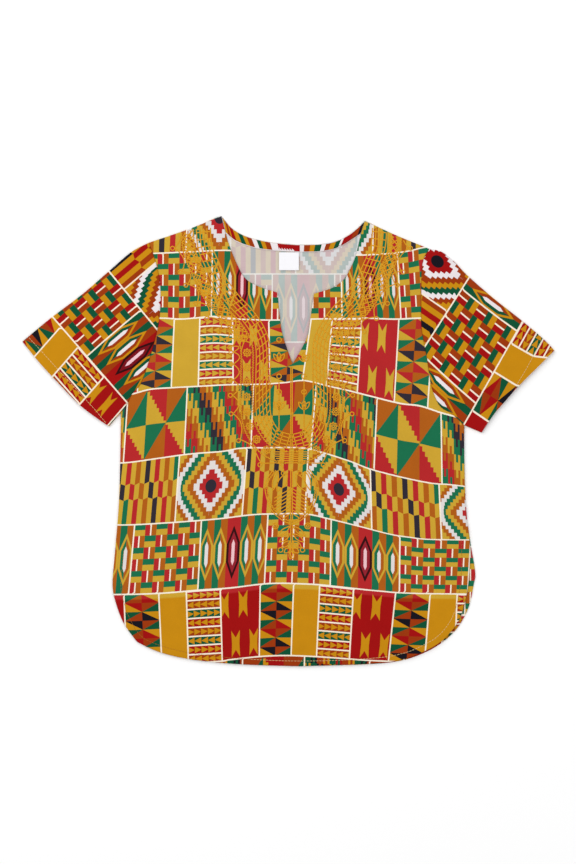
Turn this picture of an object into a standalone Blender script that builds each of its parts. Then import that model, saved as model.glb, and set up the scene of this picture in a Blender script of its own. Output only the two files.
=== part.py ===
"""Dashiki shirt of printed cotton, laid flat on its back.

The shirt lies with the wearer's front up: +X to the viewer's right, +Y towards the neck, +Z up.
The back panel rests on the ground, the front panel lies on it, and each sleeve is a tube pressed
flat, with its fold along the top of the arm.  The origin is under the middle of the shirt.
Outline tables are in millimetres; every other value is in metres.
"""
import bpy
import bmesh
from math import exp, hypot, pi, sin

MM = 0.001

# Cloth
CLOTH = 0.0012                # each cloth wall
SEAM_GAP = 0.0003             # between pieces that are sewn or lie together
TRIM = 0.0010                 # neck binding and size label

# Heights of the laid shirt
BACK_TOP = CLOTH
EDGE_TOP = 2 * CLOTH + SEAM_GAP          # outer face of the upper layer along seams and hems
LOFT = 0.0014                            # how far the upper layer swells between its edges
NECK_DROP = 0.0002                       # how far the neck edge sinks back towards the back panel
SLEEVE_LOFT = 0.0016
CUFF_MOUTH = 0.0010                      # the cuff stands open by this much more than a seam

# Grid of the panels
COLUMNS = 12
LEVEL_ROWS = (9, 6, 5, 17)               # rows between the levels of HALF_FRONT
ARMHOLE_STEPS = (3, 3, 5)                # along the three stretches of a sleeve's armhole
SLEEVE_ACROSS = sum(ARMHOLE_STEPS)
SLEEVE_ALONG = 11
BAND_STEPS = 18

# Outlines, millimetres, x then y.  Each stretch starts where the one before it ends.
NECK_POINT = {"left": (-64.5, 216.5), "right": (73.5, 211.5)}
SLIT_TIP = (4, 74)
CHEST_CENTRE = (4, 22)
HEM_CENTRE = (11, -216.5)

SHOULDER = {
    "left": [(-64.5, 216.5), (-94.5, 204), (-134, 190.5)],
    "right": [(73.5, 211.5), (102.5, 198), (135.5, 184.5)],
}
ARMHOLE_UPPER = {
    "left": [(-134, 190.5), (-128, 174), (-123.5, 154.5), (-122.5, 135.5)],
    "right": [(135.5, 184.5), (130.5, 176), (128, 163), (127.5, 131)],
}
ARMHOLE_MIDDLE = {
    "left": [(-122.5, 135.5), (-125, 110.5), (-133, 79.5)],
    "right": [(127.5, 131), (128, 108), (133, 80)],
}
ARMHOLE_LOWER = {
    "left": [(-133, 79.5), (-141.5, 55.5), (-150, 45.5), (-154.5, 36), (-161, 27.5)],
    "right": [(133, 80), (136, 60), (139, 47), (146, 33), (157, 26), (169, 15)],
}
SIDE_AND_HEM = {
    "left": [(-161, 27.5), (-161.5, -14.5), (-163, -61.5), (-166.5, -104.5), (-169, -138),
             (-165.5, -156.5), (-158, -175.5), (-145.5, -193)],
    "right": [(169, 15), (169, -14.5), (170.5, -61.5), (174, -95), (174.5, -112),
              (172.5, -140), (167.5, -163), (160, -178.5), (148.5, -191.5)],
}
BACK_SIDE_AND_HEM = {
    "left": SIDE_AND_HEM["left"],
    "right": [(169, 15), (169, -14.5), (170.5, -61.5), (174.5, -95), (179.5, -126),
              (178, -138), (174.5, -155.5), (168.5, -170), (160.5, -182), (149, -193)],
}
HEM = {
    "left": [(11, -216.5), (-46.5, -214.5), (-92.5, -210), (-123.5, -203), (-145.5, -193)],
    "right": [(11, -216.5), (78.5, -214), (111, -209.5), (134, -200.5), (148.5, -191.5)],
}
BACK_HEM = {
    "left": HEM["left"],
    "right": [(11, -216.5), (78.5, -214.5), (111, -210.5), (134, -202), (149, -193)],
}
NECKLINE = {
    "left": [(-64.5, 216.5), (-60.5, 200), (-54, 180.5), (-45.5, 162), (-39, 154), (-27.5, 148),
             (-10.5, 142.5)],
    "right": [(73.5, 211.5), (69.5, 198.5), (64, 176), (55, 157.5), (49, 151.5), (41, 146.5),
              (24.5, 141.5)],
}
SLIT = {
    "left": [(-10.5, 142.5), (-8, 117), (-5, 100), (4, 74)],
    "right": [(24.5, 141.5), (21, 117), (17, 97.5), (4, 74)],
}
BACK_NECK = [(-64.5, 216.5), (-54.5, 204.5), (-44, 198), (-32.5, 194), (-15, 190.5), (8, 188.5),
             (31.5, 189), (46.5, 192), (60.5, 199.5), (73.5, 211.5)]
BAND_UPPER = [(-63.3, 214.4), (-54.5, 204.2), (-44, 197.7), (-32.5, 193.7), (-15, 190.2), (8, 188.2),
              (31.5, 188.7), (46.5, 191.7), (60.5, 199.2), (72.6, 209.9)]
BAND_LOWER = [(-60, 199.3), (-50, 191.5), (-32.5, 185.5), (-15, 183), (11.5, 181.5), (31.5, 182),
              (48.5, 186), (69, 198.4)]
LABEL_SIZE = (0.0190, 0.0172)
LABEL_CENTRE = (0.0005, 0.1725)

# Sleeves: the fold along the top of the arm, the underarm seam and the cuff.
SLEEVE_FOLD = {
    "left": [(-134, 190.5), (-151, 181.5), (-172, 163.5), (-198, 141), (-229, 117.5), (-255.5, 95.5)],
    "right": [(135.5, 184.5), (146.5, 182), (158.5, 173), (172.5, 158.5), (199, 135.5), (225, 115),
              (246, 97), (255.5, 87)],
}
UNDERARM = {
    "left": [(-161, 27.5), (-172.5, 14)],
    "right": [(169, 15), (185.5, 8)],
}
CUFF = {
    "left": [(-255.5, 95.5), (-240.5, 77), (-225.5, 60.5), (-202.5, 36.5), (-187.5, 24.5), (-172.5, 14)],
    "right": [(255.5, 87), (248, 79.5), (221, 52.7), (207.5, 37.5), (197.5, 26), (185.5, 8)],
}

# Soft folds of the upper layer: from and to in millimetres, then width and height in metres.
FRONT_FOLDS = [
    ((-150, 52), (-70, 92), 0.009, 0.0010),
    ((-154, 38), (-92, 30), 0.010, 0.0008),
    ((-118, 150), (-70, 178), 0.008, 0.0006),
    ((158, 34), (82, 78), 0.010, 0.0010),
    ((160, 18), (108, -8), 0.010, 0.0007),
    ((124, 150), (78, 172), 0.008, 0.0006),
    ((-128, -60), (-118, -182), 0.013, 0.0007),
    ((-52, -70), (-44, -200), 0.014, 0.0006),
    ((62, -50), (70, -200), 0.014, 0.0007),
    ((132, -70), (128, -176), 0.012, 0.0007),
    ((-70, 20), (-62, 120), 0.012, 0.0006),
    ((76, 10), (70, 118), 0.012, 0.0006),
]
SLEEVE_FOLDS = {
    "left": [((-138, 76), (-196, 104), 0.009, 0.0009), ((-150, 44), (-206, 60), 0.008, 0.0008),
             ((-140, 168), (-214, 112), 0.010, 0.0006)],
    "right": [((142, 74), (196, 104), 0.009, 0.0009), ((160, 34), (212, 62), 0.008, 0.0008),
              ((146, 164), (214, 106), 0.010, 0.0006)],
}

PRINT_GOLD = (0.65, 0.34, 0.02)
WOVEN_WHITE = (0.85, 0.85, 0.84)


# ---------------------------------------------------------------- curves and patches

def scaled(points):
    """A table's points in metres."""
    return [(x * MM, y * MM) for x, y in points]


def smooth(points, steps_each=8):
    """Points of a Catmull-Rom curve through the given ones."""
    ends = [points[0]] + list(points) + [points[-1]]
    path = []
    for a, b, c, d in zip(ends, ends[1:], ends[2:], ends[3:]):
        for step in range(steps_each):
            t = step / steps_each
            path.append(tuple(
                0.5 * (2 * b[k] + (c[k] - a[k]) * t
                       + (2 * a[k] - 5 * b[k] + 4 * c[k] - d[k]) * t * t
                       + (3 * b[k] - a[k] - 3 * c[k] + d[k]) * t ** 3)
                for k in (0, 1)))
    return path + [tuple(points[-1])]


def spaced(points, count):
    """count + 1 points at even distances along the smooth curve through a table's points."""
    path = smooth(scaled(points))
    reach = [0.0]
    for a, b in zip(path, path[1:]):
        reach.append(reach[-1] + hypot(b[0] - a[0], b[1] - a[1]))
    result, leg = [], 0
    for i in range(count + 1):
        want = reach[-1] * i / count
        while leg < len(path) - 2 and reach[leg + 1] < want:
            leg += 1
        t = (want - reach[leg]) / (reach[leg + 1] - reach[leg])
        result.append(tuple(path[leg][k] + (path[leg + 1][k] - path[leg][k]) * t for k in (0, 1)))
    return result


def joined(stretches, counts):
    """One run of points along stretches that follow each other."""
    run = []
    for points, count in zip(stretches, counts):
        run += spaced(points, count)[1 if run else 0:]
    return run


def shifted(points, distance):
    """The run moved sideways by a distance, to the left of its direction."""
    moved = []
    for i, (x, y) in enumerate(points):
        before, after = points[max(i - 1, 0)], points[min(i + 1, len(points) - 1)]
        dx, dy = after[0] - before[0], after[1] - before[1]
        length = hypot(dx, dy)
        moved.append((x - dy / length * distance, y + dx / length * distance))
    return moved


def fractions(points):
    """How far along the run each of its points lies, from 0 to 1."""
    reach = [0.0]
    for a, b in zip(points, points[1:]):
        reach.append(reach[-1] + hypot(b[0] - a[0], b[1] - a[1]))
    return [r / reach[-1] for r in reach]


def patch(first, last, start, end):
    """Rows of points between the runs first and last, bounded by start and end.

    Row j runs from first[j] to last[j]; row 0 follows start and the last row follows end.
    """
    rows = []
    columns = len(start) - 1
    for inner, outer, w in zip(first, last, fractions(first)):
        row = []
        for i in range(columns + 1):
            u = i / columns
            point = []
            for k in (0, 1):
                bow_start = start[i][k] - (start[0][k] * (1 - u) + start[-1][k] * u)
                bow_end = end[i][k] - (end[0][k] * (1 - u) + end[-1][k] * u)
                point.append(inner[k] * (1 - u) + outer[k] * u + bow_start * (1 - w) + bow_end * w)
            row.append(tuple(point))
        rows.append(row)
    return rows


# ---------------------------------------------------------------- heights of the upper layer

def swell(distance, reach):
    """0 at an edge, rising to 1 over the given reach."""
    return 1 - exp(-distance / reach)


def fold_height(x, y, folds):
    """Height of the soft folds at a point."""
    height = 0.0
    for start, end, width, top in folds:
        (x0, y0), (x1, y1) = scaled((start, end))
        dx, dy = x1 - x0, y1 - y0
        length = hypot(dx, dy)
        along = ((x - x0) * dx + (y - y0) * dy) / length ** 2
        across = ((x - x0) * dy - (y - y0) * dx) / length
        if 0 < along < 1:
            height += top * sin(pi * along) ** 2 * exp(-(across / width) ** 2)
    return height


def front_top(x, y, u, w):
    """Outer face of the front at a point; u runs from the centre to the side, w from neck to hem."""
    edge = swell(1 - u, 0.16) * swell(w, 0.07) * swell(1 - w, 0.08)
    neck = exp(-u / 0.12) * (1 if w < 0.2 else exp(-(w - 0.2) / 0.06))
    return EDGE_TOP + edge * (LOFT * (1 - neck) + (LOFT - NECK_DROP) * neck
                              + fold_height(x, y, FRONT_FOLDS))


def sleeve_top(x, y, side, a, s):
    """Outer face of a sleeve's upper layer; a runs from fold to underarm, s from seam to cuff."""
    edge = swell(a, 0.12) * swell(1 - a, 0.12)
    loft = SLEEVE_LOFT * swell(s, 0.10) * swell(1 - s, 0.30) + CUFF_MOUTH * s ** 4
    folds = fold_height(x, y, SLEEVE_FOLDS[side]) * swell(s, 0.10) * swell(1 - s, 0.15)
    return EDGE_TOP + edge * (loft + folds)


# ---------------------------------------------------------------- objects

def clear_scene():
    """Remove what the scene holds."""
    for obj in list(bpy.data.objects):
        bpy.data.objects.remove(obj, do_unlink=True)


def material(name, color, roughness):
    """A plain cloth material."""
    made = bpy.data.materials.new(name)
    made.use_nodes = True
    surface = made.node_tree.nodes["Principled BSDF"]
    surface.inputs["Base Color"].default_value = (*color, 1)
    surface.inputs["Roughness"].default_value = roughness
    surface.inputs["Metallic"].default_value = 0
    return made


def add_object(name, data, finish, collection):
    """Link an object that carries the data and its finish."""
    obj = bpy.data.objects.new(name, data)
    data.materials.append(finish)
    collection.objects.link(obj)
    return obj


def add_mesh(name, form, finish, collection):
    """Make an object of a bmesh with its faces pointing out."""
    bmesh.ops.recalc_face_normals(form, faces=form.faces)
    mesh = bpy.data.meshes.new(name)
    form.to_mesh(mesh)
    form.free()
    mesh.shade_smooth()
    mesh.set_sharp_from_angle(angle=pi / 4)
    return add_object(name, mesh, finish, collection)


def add_quads(form, rows, closed=False):
    """Faces between neighbouring rows of vertices."""
    for above, below in zip(rows, rows[1:]):
        count = len(above)
        for i in range(count if closed else count - 1):
            k = (i + 1) % count
            form.faces.new((above[i], above[k], below[k], below[i]))


def half_rows(side):
    """The rows of points of one half of the front, with each point's u and w."""
    to_chest = [SLIT_TIP, CHEST_CENTRE]
    to_hem = [CHEST_CENTRE, HEM_CENTRE]
    inner = joined((NECKLINE[side], SLIT[side], to_chest, to_hem), LEVEL_ROWS)
    outer = joined((ARMHOLE_UPPER[side], ARMHOLE_MIDDLE[side], ARMHOLE_LOWER[side],
                    SIDE_AND_HEM[side]), LEVEL_ROWS)
    points = patch(inner, outer, spaced(SHOULDER[side], COLUMNS), spaced(HEM[side], COLUMNS))
    down = fractions(outer)
    return [[(x, y, i / COLUMNS, w) for i, (x, y) in enumerate(row)] for row, w in zip(points, down)]


def make_front(finish, collection):
    """The front: both halves as one wall, joined from the slit's tip to the hem."""
    form = bmesh.new()
    for side in ("left", "right"):
        rows = [[form.verts.new((x, y, front_top(x, y, u, w))) for x, y, u, w in row]
                for row in half_rows(side)]
        add_quads(form, rows)
    bmesh.ops.remove_doubles(form, verts=form.verts, dist=SEAM_GAP / 10)
    upper = list(form.verts)
    lower = bmesh.ops.extrude_face_region(form, geom=form.faces[:])["geom"]
    form.verts.ensure_lookup_table()
    for vert in (v for v in lower if isinstance(v, bmesh.types.BMVert)):
        vert.co.z -= CLOTH
    assert len(form.verts) == 2 * len(upper)
    return add_mesh("front", form, finish, collection)


def back_outline():
    """The back's outline, round from the left neck point."""
    counts = LEVEL_ROWS
    runs = {}
    for side in ("left", "right"):
        outer = joined((ARMHOLE_UPPER[side], ARMHOLE_MIDDLE[side], ARMHOLE_LOWER[side],
                        BACK_SIDE_AND_HEM[side]), counts)
        hem = spaced(BACK_HEM[side], COLUMNS)[::-1]
        runs[side] = spaced(SHOULDER[side], COLUMNS)[:-1] + outer + hem[1:]
    neck = spaced(BACK_NECK, BAND_STEPS)
    return runs["left"] + runs["right"][-2::-1] + neck[-2:0:-1]


def make_back(finish, collection):
    """The back: one flat wall that the shirt rests on."""
    outline = bpy.data.curves.new("back", "CURVE")
    outline.dimensions = "2D"
    outline.fill_mode = "BOTH"
    outline.extrude = CLOTH / 2
    points = back_outline()
    line = outline.splines.new("POLY")
    line.points.add(len(points) - 1)
    for target, (x, y) in zip(line.points, points):
        target.co = (x, y, 0, 1)
    line.use_cyclic_u = True
    back = add_object("back", outline, finish, collection)
    back.location.z = CLOTH / 2
    return back


def sleeve_rings(side):
    """Outer and inner rings of points of a flattened sleeve, from the armhole to the cuff."""
    outwards = -1 if side == "left" else 1
    armhole = joined((ARMHOLE_UPPER[side], ARMHOLE_MIDDLE[side], ARMHOLE_LOWER[side]),
                     ARMHOLE_STEPS)
    seam = shifted(armhole, outwards * SEAM_GAP)
    fold = spaced(SLEEVE_FOLD[side], SLEEVE_ALONG)
    under = spaced(UNDERARM[side], SLEEVE_ALONG)
    fold[0], under[0] = seam[0], seam[-1]
    rows = patch(fold, under, seam, spaced(CUFF[side], SLEEVE_ACROSS))
    outer_rings, inner_rings = [], []
    for row, s in zip(rows, fractions(fold)):
        width = hypot(row[-1][0] - row[0][0], row[-1][1] - row[0][1])
        outer_rings.append(sleeve_ring(row, side, s, 0.0, 0.0))
        inner_rings.append(sleeve_ring(row, side, s, CLOTH, 1.4 * CLOTH / width))
    return outer_rings, inner_rings


def sleeve_ring(row, side, s, wall, inset):
    """One ring: along the lower layer from fold to underarm and back along the upper layer."""
    last = len(row) - 1
    across = [0.0, 0.02] + [i / last for i in range(1, last)] + [0.98, 1.0]
    lower, upper = [], []
    for a in across:
        squeezed = inset + a * (1 - 2 * inset)
        x, y = point_between(row, squeezed)
        if a in (0.0, 1.0):
            lower.append((x, y, EDGE_TOP / 2))
            continue
        lower.append((x, y, wall))
        upper.append((x, y, sleeve_top(x, y, side, squeezed, s) - wall))
    return lower + upper[::-1]


def point_between(row, a):
    """The point a fraction a along a row."""
    place = a * (len(row) - 1)
    i = min(int(place), len(row) - 2)
    t = place - i
    return tuple(row[i][k] + (row[i + 1][k] - row[i][k]) * t for k in (0, 1))


def make_sleeve(side, finish, collection):
    """A sleeve: a tube pressed flat, open at the armhole and the cuff."""
    form = bmesh.new()
    outer_rings, inner_rings = sleeve_rings(side)
    outer = [[form.verts.new(point) for point in ring] for ring in outer_rings]
    inner = [[form.verts.new(point) for point in ring] for ring in inner_rings]
    add_quads(form, outer, closed=True)
    add_quads(form, inner[::-1], closed=True)
    add_quads(form, [inner[0], outer[0]], closed=True)
    add_quads(form, [outer[-1], inner[-1]], closed=True)
    return add_mesh("sleeve_" + side, form, finish, collection)


def make_band(finish, collection):
    """The binding inside the back neck: a flat strip on the back."""
    form = bmesh.new()
    base = BACK_TOP + SEAM_GAP
    rows = [[form.verts.new((x, y, base)) for x, y in spaced(edge, BAND_STEPS)]
            for edge in (BAND_UPPER, BAND_LOWER)]
    add_quads(form, rows)
    raised = bmesh.ops.extrude_face_region(form, geom=form.faces[:])["geom"]
    for vert in (v for v in raised if isinstance(v, bmesh.types.BMVert)):
        vert.co.z += TRIM
    return add_mesh("back_neck_band", form, finish, collection)


def make_label(finish, collection):
    """The size label: a small woven tag below the binding."""
    form = bmesh.new()
    bmesh.ops.create_cube(form, size=1)
    bmesh.ops.scale(form, vec=(*LABEL_SIZE, TRIM), verts=form.verts)
    label = add_mesh("size_label", form, finish, collection)
    label.location = (*LABEL_CENTRE, BACK_TOP + SEAM_GAP + TRIM / 2)
    return label


def main():
    clear_scene()
    shirt = bpy.data.collections.new("dashiki shirt")
    bpy.context.scene.collection.children.link(shirt)
    cotton = material("printed cotton", PRINT_GOLD, 0.8)
    tag = material("woven tag", WOVEN_WHITE, 0.6)
    make_back(cotton, shirt)
    make_front(cotton, shirt)
    for side in ("left", "right"):
        make_sleeve(side, cotton, shirt)
    make_band(cotton, shirt)
    make_label(tag, shirt)


main()
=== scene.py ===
"""Dashiki shirt of printed cotton, laid flat: cloth, print, stitching, embroidery, light and camera.

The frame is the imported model's: +X to the viewer's right, +Y towards the neck, +Z up, in metres.
Outline tables are in millimetres.
"""
from bisect import bisect
from functools import partialmethod
from math import ceil, cos, exp, hypot, pi, radians, sin, sqrt

import bmesh
import bpy
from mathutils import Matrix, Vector
from mathutils.bvhtree import BVHTree
from mathutils.kdtree import KDTree

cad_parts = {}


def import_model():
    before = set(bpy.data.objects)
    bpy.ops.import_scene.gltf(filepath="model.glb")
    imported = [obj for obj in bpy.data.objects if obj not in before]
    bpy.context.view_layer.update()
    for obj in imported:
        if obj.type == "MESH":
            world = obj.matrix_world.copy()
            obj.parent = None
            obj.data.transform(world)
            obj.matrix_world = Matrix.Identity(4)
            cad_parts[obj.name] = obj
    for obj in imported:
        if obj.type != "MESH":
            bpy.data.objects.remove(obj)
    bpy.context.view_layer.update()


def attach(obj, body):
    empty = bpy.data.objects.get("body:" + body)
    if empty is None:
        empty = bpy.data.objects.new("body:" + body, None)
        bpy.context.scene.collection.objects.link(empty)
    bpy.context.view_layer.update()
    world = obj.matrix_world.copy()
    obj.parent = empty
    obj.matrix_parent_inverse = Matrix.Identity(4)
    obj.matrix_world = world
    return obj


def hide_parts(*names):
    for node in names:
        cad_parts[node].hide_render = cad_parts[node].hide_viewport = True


MM = 0.001

# ---- sizes shared with the solids

EDGE_TOP = 0.0027  # outer face of the upper layer along seams and hems
LOFT = 0.0014
NECK_DROP = 0.0002
SLEEVE_LOFT = 0.0016
CUFF_MOUTH = 0.0010
# Over what shares of a piece's width or length its height builds up or dies away.
FRONT_REACH = (0.16, 0.07, 0.08)  # from the side, the shoulder and the hem
NECK_REACH, SLIT_END, SLIT_FADE = 0.12, 0.2, 0.06
SLEEVE_REACH = (0.12, 0.10, 0.30, 0.15)  # from the long edges, the armhole, the cuff, the cuff for folds

SLIT_TIP = (4, 74)
CHEST_CENTRE = (4, 22)
HEM_CENTRE = (11, -216.5)
BACK_NECK_CENTRE = (8, 188.5)

SHOULDER = {
    "left": [(-64.5, 216.5), (-94.5, 204), (-134, 190.5)],
    "right": [(73.5, 211.5), (102.5, 198), (135.5, 184.5)],
}
ARMHOLE_UPPER = {
    "left": [(-134, 190.5), (-128, 174), (-123.5, 154.5), (-122.5, 135.5)],
    "right": [(135.5, 184.5), (130.5, 176), (128, 163), (127.5, 131)],
}
ARMHOLE_MIDDLE = {
    "left": [(-122.5, 135.5), (-125, 110.5), (-133, 79.5)],
    "right": [(127.5, 131), (128, 108), (133, 80)],
}
ARMHOLE_LOWER = {
    "left": [(-133, 79.5), (-141.5, 55.5), (-150, 45.5), (-154.5, 36), (-161, 27.5)],
    "right": [(133, 80), (136, 60), (139, 47), (146, 33), (157, 26), (169, 15)],
}
SIDE_AND_HEM = {
    "left": [(-161, 27.5), (-161.5, -14.5), (-163, -61.5), (-166.5, -104.5), (-169, -138),
             (-165.5, -156.5), (-158, -175.5), (-145.5, -193)],
    "right": [(169, 15), (169, -14.5), (170.5, -61.5), (174, -95), (174.5, -112),
              (172.5, -140), (167.5, -163), (160, -178.5), (148.5, -191.5)],
}
BACK_SIDE_AND_HEM = {
    "left": SIDE_AND_HEM["left"],
    "right": SIDE_AND_HEM["right"][:3] + [(174.5, -95), (179.5, -126), (178, -138), (174.5, -155.5),
                                          (168.5, -170), (160.5, -182), (149, -193)],
}
HEM = {
    "left": [(11, -216.5), (-46.5, -214.5), (-92.5, -210), (-123.5, -203), (-145.5, -193)],
    "right": [(11, -216.5), (78.5, -214), (111, -209.5), (134, -200.5), (148.5, -191.5)],
}
BACK_HEM = {
    "left": HEM["left"],
    "right": [(11, -216.5), (78.5, -214.5), (111, -210.5), (134, -202), (149, -193)],
}
NECKLINE = {
    "left": [(-64.5, 216.5), (-60.5, 200), (-54, 180.5), (-45.5, 162), (-39, 154), (-27.5, 148),
             (-10.5, 142.5)],
    "right": [(73.5, 211.5), (69.5, 198.5), (64, 176), (55, 157.5), (49, 151.5), (41, 146.5),
              (24.5, 141.5)],
}
SLIT = {
    "left": [(-10.5, 142.5), (-8, 117), (-5, 100), (4, 74)],
    "right": [(24.5, 141.5), (21, 117), (17, 97.5), (4, 74)],
}
BACK_NECK = {
    "left": [(-64.5, 216.5), (-54.5, 204.5), (-44, 198), (-32.5, 194), (-15, 190.5), (8, 188.5)],
    "right": [(73.5, 211.5), (60.5, 199.5), (46.5, 192), (31.5, 189), (8, 188.5)],
}
BAND_UPPER = [(-63.3, 214.4), (-54.5, 204.2), (-44, 197.7), (-32.5, 193.7), (-15, 190.2), (8, 188.2),
              (31.5, 188.7), (46.5, 191.7), (60.5, 199.2), (72.6, 209.9)]
BAND_LOWER = [(-60, 199.3), (-50, 191.5), (-32.5, 185.5), (-15, 183), (11.5, 181.5), (31.5, 182),
              (48.5, 186), (69, 198.4)]
LABEL_SIZE = (19.0, 17.2)
LABEL_CENTRE = (0.5, 172.5)

SLEEVE_FOLD = {
    "left": [(-134, 190.5), (-151, 181.5), (-172, 163.5), (-198, 141), (-229, 117.5), (-255.5, 95.5)],
    "right": [(135.5, 184.5), (146.5, 182), (158.5, 173), (172.5, 158.5), (199, 135.5), (225, 115),
              (246, 97), (255.5, 87)],
}
UNDERARM = {
    "left": [(-161, 27.5), (-172.5, 14)],
    "right": [(169, 15), (185.5, 8)],
}
CUFF = {
    "left": [(-255.5, 95.5), (-240.5, 77), (-225.5, 60.5), (-202.5, 36.5), (-187.5, 24.5), (-172.5, 14)],
    "right": [(255.5, 87), (248, 79.5), (221, 52.7), (207.5, 37.5), (197.5, 26), (185.5, 8)],
}

FRONT_EDGE = (SIDE_AND_HEM["left"][3:] + HEM["left"][-2::-1] + HEM["right"][1:]
              + SIDE_AND_HEM["right"][-2:2:-1])
BACK_EDGE = (SIDE_AND_HEM["left"][3:] + BACK_HEM["left"][-2::-1] + BACK_HEM["right"][1:]
             + BACK_SIDE_AND_HEM["right"][-2:2:-1])
CUFF_STITCHES = {
    "left": [(-249, 99), (-238.8, 88), (-222, 69.5), (-208.5, 55), (-195.7, 41), (-185, 29.2),
             (-175, 17)],
    "right": [(244.5, 97.5), (236.5, 84), (227.3, 67.5), (219.5, 54.5)],
}

# Soft folds: from and to in millimetres, then width and height in metres.
FRONT_FOLDS = [
    ((-150, 52), (-70, 92), 0.009, 0.0010),
    ((-154, 38), (-92, 30), 0.010, 0.0008),
    ((-118, 150), (-70, 178), 0.008, 0.0006),
    ((158, 34), (82, 78), 0.010, 0.0010),
    ((160, 18), (108, -8), 0.010, 0.0007),
    ((124, 150), (78, 172), 0.008, 0.0006),
    ((-128, -60), (-118, -182), 0.013, 0.0007),
    ((-52, -70), (-44, -200), 0.014, 0.0006),
    ((62, -50), (70, -200), 0.014, 0.0007),
    ((132, -70), (128, -176), 0.012, 0.0007),
    ((-70, 20), (-62, 120), 0.012, 0.0006),
    ((76, 10), (70, 118), 0.012, 0.0006),
    ((143, 31), (156, 39), 0.0034, 0.0011),
    ((149, 22), (163, 28), 0.0032, 0.0010),
    ((-126, -147.5), (-104, -149), 0.0034, 0.0007),
]
SLEEVE_FOLDS = {
    "left": [((-138, 76), (-196, 104), 0.009, 0.0009), ((-150, 44), (-206, 60), 0.008, 0.0008),
             ((-140, 168), (-214, 112), 0.010, 0.0006)],
    "right": [((142, 74), (196, 104), 0.009, 0.0009), ((160, 34), (212, 62), 0.008, 0.0008),
              ((146, 164), (214, 106), 0.010, 0.0006)],
}

# ---- sizes of the dressed shirt

CLOTH = 0.0004  # real thickness of the cotton
NEAR_STEP = 0.0005  # between a path's points when distances from it are measured
SEAM_ROLL = (0.0018, 0.0013)  # radius and fall of an edge: sewn sides and shoulders
ARMHOLE_ROLL = (0.0014, 0.0009)
NECK_ROLL = (0.0009, 0.0008)
HEM_ROLL = (0.0009, 0.0009)
BACK_ROLL = (0.0018, 0.0009)
NECK_SETTLE = (0.0013, 0.007)  # how far the neck edge sinks, and over what distance
FRONT_LOWEST = 0.0014  # its outer face falls no lower where two edges meet
BACK_NECK_LIFT = (0.0007, 0.030)
HEM_DEPTH = 0.010  # of the turned hems at the sides and cuffs
HEM_SEAM = (0.0085, 0.0050)  # from the edge to the hem stitches: at the sides and in the middle
GROOVE = (0.00022, 0.0010)  # how far stitches pull the cloth down, and over what distance

# The print repeats every REPEAT millimetres across.  Four kinds of row follow each other down it: where
# the first block of each kind starts, and how wide its blocks are.
REPEAT = 125.0
ROW_STARTS = (0.0, 25.0, -41.5, -56.5)
ROW_BLOCKS = ((62.5, 62.5), (60.0, 65.0), (33.0, 24.5, 31.0, 36.5), (60.5, 64.5))
# The laid cloth pulls the print out of true.  These lines part the front's rows.
ROW_LINES = [
    [(-171.5, 243), (-56, 246.5), (66, 242), (174.5, 248)],
    [(-171.5, 179.5), (-132, 180), (-94.5, 181.5), (-56, 183), (11, 180.5), (66, 178.5),
     (92.5, 179.5), (107, 181), (118.5, 183), (131, 186), (174.5, 194)],
    [(-171.5, 118), (-123.5, 118), (-104, 117), (-89.5, 118), (-70.5, 119.5), (-48.5, 117),
     (-15.5, 116), (20.5, 117), (59, 117.5), (73.5, 118), (102.5, 117), (126.5, 118), (174.5, 119)],
    [(-171.5, 40.5), (-150, 45), (-133, 49.5), (-113.5, 51), (-85, 52.5), (-56, 54), (-25.5, 54.5),
     (-3.5, 56), (15, 58), (37, 53), (59, 48), (78.5, 43), (107, 36), (126.5, 33.5), (146.5, 27),
     (164.5, 22), (179, 17.5)],
    [(-171.5, -21.5), (-152, -20.5), (-123.5, -16.5), (-94.5, -12.5), (-63.5, -10), (-46.5, -7),
     (-25.5, -6.5), (11, -6.5), (30.5, -10.5), (59, -19.5), (78.5, -27), (107, -34.5), (136, -40.5),
     (155, -42), (179, -45)],
    [(-171.5, -80.5), (-152, -80.5), (-123.5, -79), (-94.5, -77), (-65.5, -74.5), (-37, -71),
     (-17.5, -70), (16, -70), (40, -75), (68.5, -82), (97.5, -89.5), (116.5, -92.5), (136, -94.5),
     (179, -95)],
    [(-171.5, -147.5), (-142.5, -147), (-113.5, -145.5), (-85, -143), (-56, -141), (-27.5, -137.5),
     (-8, -136.5), (11, -137), (30.5, -138), (59, -141), (88, -144), (116.5, -146), (179, -147)],
    [(-171.5, -217), (-72.5, -212), (-56, -210), (-27.5, -207), (-3.5, -206), (25.5, -207),
     (54.5, -209), (83, -211), (179, -215)],
    [(-171.5, -280), (-3.5, -271), (179, -280)],
]
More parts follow.
